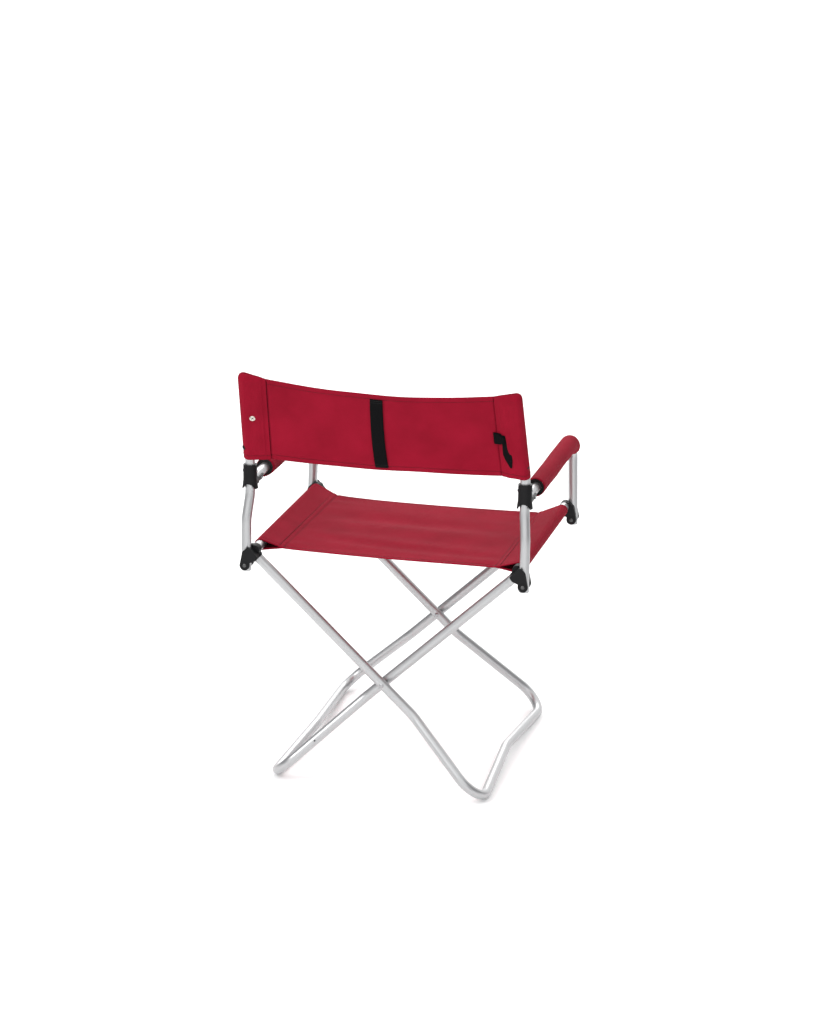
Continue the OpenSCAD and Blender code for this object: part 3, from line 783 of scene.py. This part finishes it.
def make_arm_pad(side, name, body):
    """The padded cover: a tube of cloth with a seam underneath, gathered in front round the post."""
    line = [(p, d) for p, d in arm_path(PAD_REAR, PAD_LOW) if p[2] > PAD_LOW + 0.5 * MM]
    total = lengths(np.array([p for p, _ in line]))
    columns = 48
    rows = []
    for i, ((_, y, z), (_, dy, dz)) in enumerate(line):
        along = total[i] / total[-1]
        left_over = total[-1] - total[i]
        out = np.array([0.0, dz, -dy])
        close = 1.0 - 0.4 * max(0.0, 1 - left_over / (17 * MM)) ** 2.2 - 0.03 * bump_at(total[i], 6 * MM)
        row = []
        for k in range(columns):
            angle = 2 * math.pi * k / columns
            under = math.cos((angle - 1.5 * math.pi) / 2) ** 2
            seam_off = (angle - 1.5 * math.pi) * PAD_R
            puff = 0.35 * math.sin(total[i] / 0.021 + 2 * math.cos(angle)) * under
            puff += 0.3 * math.sin(total[i] / 0.047 + angle)
            ridge = 1.6 * bump_at(seam_off, 1.8 * MM) - 0.5 * bump_at(abs(seam_off) - 3.5 * MM, 1.5 * MM)
            gather = 0.5 * math.sin(angle * 13) * bump_at(left_over, 12 * MM)
            radius = (PAD_R - CLOTH / 2) * close + (puff + ridge + gather) * MM
            way = np.array([math.cos(angle), 0, 0]) + out * math.sin(angle)
            tail = 3 * MM * bump_at(seam_off, 7 * MM) * bump_at(total[i], 4 * MM)
            row.append(np.array([side * ARM_X, y + tail, z]) + way * [side, 1, 1] * radius)
        rows.append(row)
    sheet = np.array(rows)
    if side == RIGHT:
        sheet[:, :, 1] -= STAGGER
    count, around = sheet.shape[:2]
    ring = np.linspace(0, 2 * math.pi * PAD_R, columns, endpoint=False)
    uvs = [(ring[j], total[i]) for i in range(count) for j in range(columns)]
    faces = grid_faces(count, columns, closed=True)
    if side == RIGHT:
        faces = [face[::-1] for face in faces]
    pad = make_piece("armrest_" + name, sheet.reshape(-1, 3), faces, "red_cloth", uvs)
    solid = pad.modifiers.new("thickness", "SOLIDIFY")
    solid.thickness = CLOTH
    solid.offset = 0.0
    lines = []
    for offset in (-3.2 * MM, 3.2 * MM):
        row, normals = [], []
        for (_, y, z), (_, dy, dz) in line[:-3]:
            angle = 1.5 * math.pi + offset / PAD_R
            way = np.array([side * math.cos(angle), 0, 0]) + np.array([0.0, dz, -dy]) * math.sin(angle)
            shift = 0 if side == LEFT else -STAGGER
            row.append(np.array([side * ARM_X, y + shift, z]) + way * (PAD_R - 0.1 * MM))
            normals.append(way)
        lines.append((row, normals))
    seams = stitches("armrest_stitching_" + name, lines)
    for piece in (pad, seams):
        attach(piece, body)
    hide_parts("arm_cover_" + name)


# ---------- frame parts ----------


def soften(node, width):
    """Rounds the edges of a moulded part and shades it smoothly."""
    piece = NODES[node]
    weld = piece.modifiers.new("weld", "WELD")
    weld.merge_threshold = 0.02 * MM
    bevel = piece.modifiers.new("edges", "BEVEL")
    bevel.width = width
    bevel.segments = 3
    bevel.limit_method = "ANGLE"
    bevel.angle_limit = math.radians(40)
    bevel.harden_normals = True
    bevel.use_clamp_overlap = True


def finish_frame():
    """Gives every carried-over part the material of its slot in the record, except the hinge rivets, which get a
    dark one.
    """
    for row in frame["record"]["subparts"]:
        piece = NODES[row["node"]]
        piece.data.materials.clear()
        look = "dark_rivet" if row["node"].startswith("hinge_rivets") else row["material_slot"]
        piece.data.materials.append(MATERIAL[look])


# ---------- studio ----------

VIEW_AZIMUTH = math.radians(194.1)
CHAIR_MIDDLE = Vector((0, 0, 0.45))  # where the lights point


def make_studio():
    floor = make_floor()
    world = bpy.data.worlds.new("studio")
    bpy.context.scene.world = world
    world.use_nodes = True
    tree = world.node_tree
    tree.nodes["Background"].inputs["Strength"].default_value = 1.3
    split = tree.nodes.new("ShaderNodeSeparateXYZ")
    tree.links.new(tree.nodes.new("ShaderNodeTexCoord").outputs["Generated"], split.inputs[0])
    aside = tree.nodes.new("ShaderNodeMath")
    aside.operation = "ABSOLUTE"
    tree.links.new(split.outputs[0], aside.inputs[0])
    ramp = tree.nodes.new("ShaderNodeValToRGB")
    ramp.color_ramp.elements[0].position = 0.45
    ramp.color_ramp.elements[0].color = rgba(1.0, 1.0, 1.0)
    ramp.color_ramp.elements[1].position = 0.8
    ramp.color_ramp.elements[1].color = rgba(0.22, 0.22, 0.23)
    tree.links.new(aside.outputs[0], ramp.inputs["Fac"])
    tree.links.new(ramp.outputs["Color"], tree.nodes["Background"].inputs["Color"])
    area_light("key", (2.6, 3.0, 3.4), 1.8, 75)
    area_light("fill", (-2.8, 2.6, 2.2), 2.2, 8)
    area_light("rim", (0.6, -3.2, 2.6), 2.0, 45)


def make_floor():
    """White paper where it is seen behind the chair, and greyer on both sides, which shades the tubes."""
    graph = Graph("paper_floor")
    place = graph.nodes.new("ShaderNodeMapping")
    place.vector_type = "POINT"
    place.inputs["Rotation"].default_value = (0.0, 0.0, math.pi - VIEW_AZIMUTH)
    graph.links.new(graph.node("TexCoord", output=3), place.inputs["Vector"])
    split = graph.nodes.new("ShaderNodeSeparateXYZ")
    graph.links.new(place.outputs[0], split.inputs[0])
    apex, widening = 6.7, 0.15
    away = graph.math("MAXIMUM", graph.math("SUBTRACT", apex, split.outputs[1]), 0.0)
    aside = graph.math("SUBTRACT", graph.math("ABSOLUTE", split.outputs[0]), graph.math("MULTIPLY", away, widening))
    shade = graph.node("MapRange", Value=aside, From_Min=0.1, From_Max=0.9, To_Min=0.0, To_Max=1.0)
    graph.finish(Base_Color=graph.mix(shade, rgba(0.97, 0.97, 0.97), rgba(0.5, 0.5, 0.505)), Roughness=0.9,
                 Emission_Color=rgba(1.0, 1.0, 1.0), Emission_Strength=0.12)
    MATERIAL["floor"] = graph.material
    half = 40.0
    corners = [(-half, -half, 0), (half, -half, 0), (half, half, 0), (-half, half, 0)]
    return make_piece("floor", corners, [(0, 1, 2, 3)], "floor", smooth=False)


def area_light(name, place, width, power):
    light = bpy.data.lights.new(name, "AREA")
    light.shape = "SQUARE"
    light.size = width
    light.energy = power
    lamp = bpy.data.objects.new(name, light)
    lamp.location = place
    lamp.rotation_mode = "QUATERNION"
    lamp.rotation_quaternion = (CHAIR_MIDDLE - Vector(place)).to_track_quat("-Z", "Y")
    bpy.context.scene.collection.objects.link(lamp)


def make_camera():
    """A long lens behind the chair, to its left as it faces away, a little above it."""
    elevation, roll = math.radians(16.9), math.radians(0.8)
    target, distance = Vector((0.0894, -0.3221, 0.386)), 6.740
    back = Vector((math.sin(VIEW_AZIMUTH) * math.cos(elevation), -math.cos(VIEW_AZIMUTH) * math.cos(elevation),
                   math.sin(elevation)))
    data = bpy.data.cameras.new("camera")
    data.sensor_width = 36.0
    data.lens = 114.03
    data.clip_end = 200.0
    camera = bpy.data.objects.new("camera", data)
    camera.location = target + back * distance
    camera.rotation_mode = "QUATERNION"
    look = (-back).to_track_quat("-Z", "Y").to_matrix()
    camera.rotation_quaternion = (look @ Matrix.Rotation(roll, 3, "Z")).to_quaternion()
    bpy.context.scene.collection.objects.link(camera)
    bpy.context.scene.camera = camera


make_camera()
make_studio()
finish_frame()
for which, softness in (("hub_rear", 0.7), ("hub_front", 0.7), ("arm_clamp", 0.5)):
    for hand in ("left", "right"):
        soften(which + "_" + hand, softness * MM)
make_seat()
make_back_panel()
for side, hand in ((LEFT, "left"), (RIGHT, "right")):
    make_back_sleeve(side, hand, "side_" + hand)
    make_arm_pad(side, hand, "side_" + hand)
make_closure()
bpy.context.scene.view_settings.view_transform = "Standard"
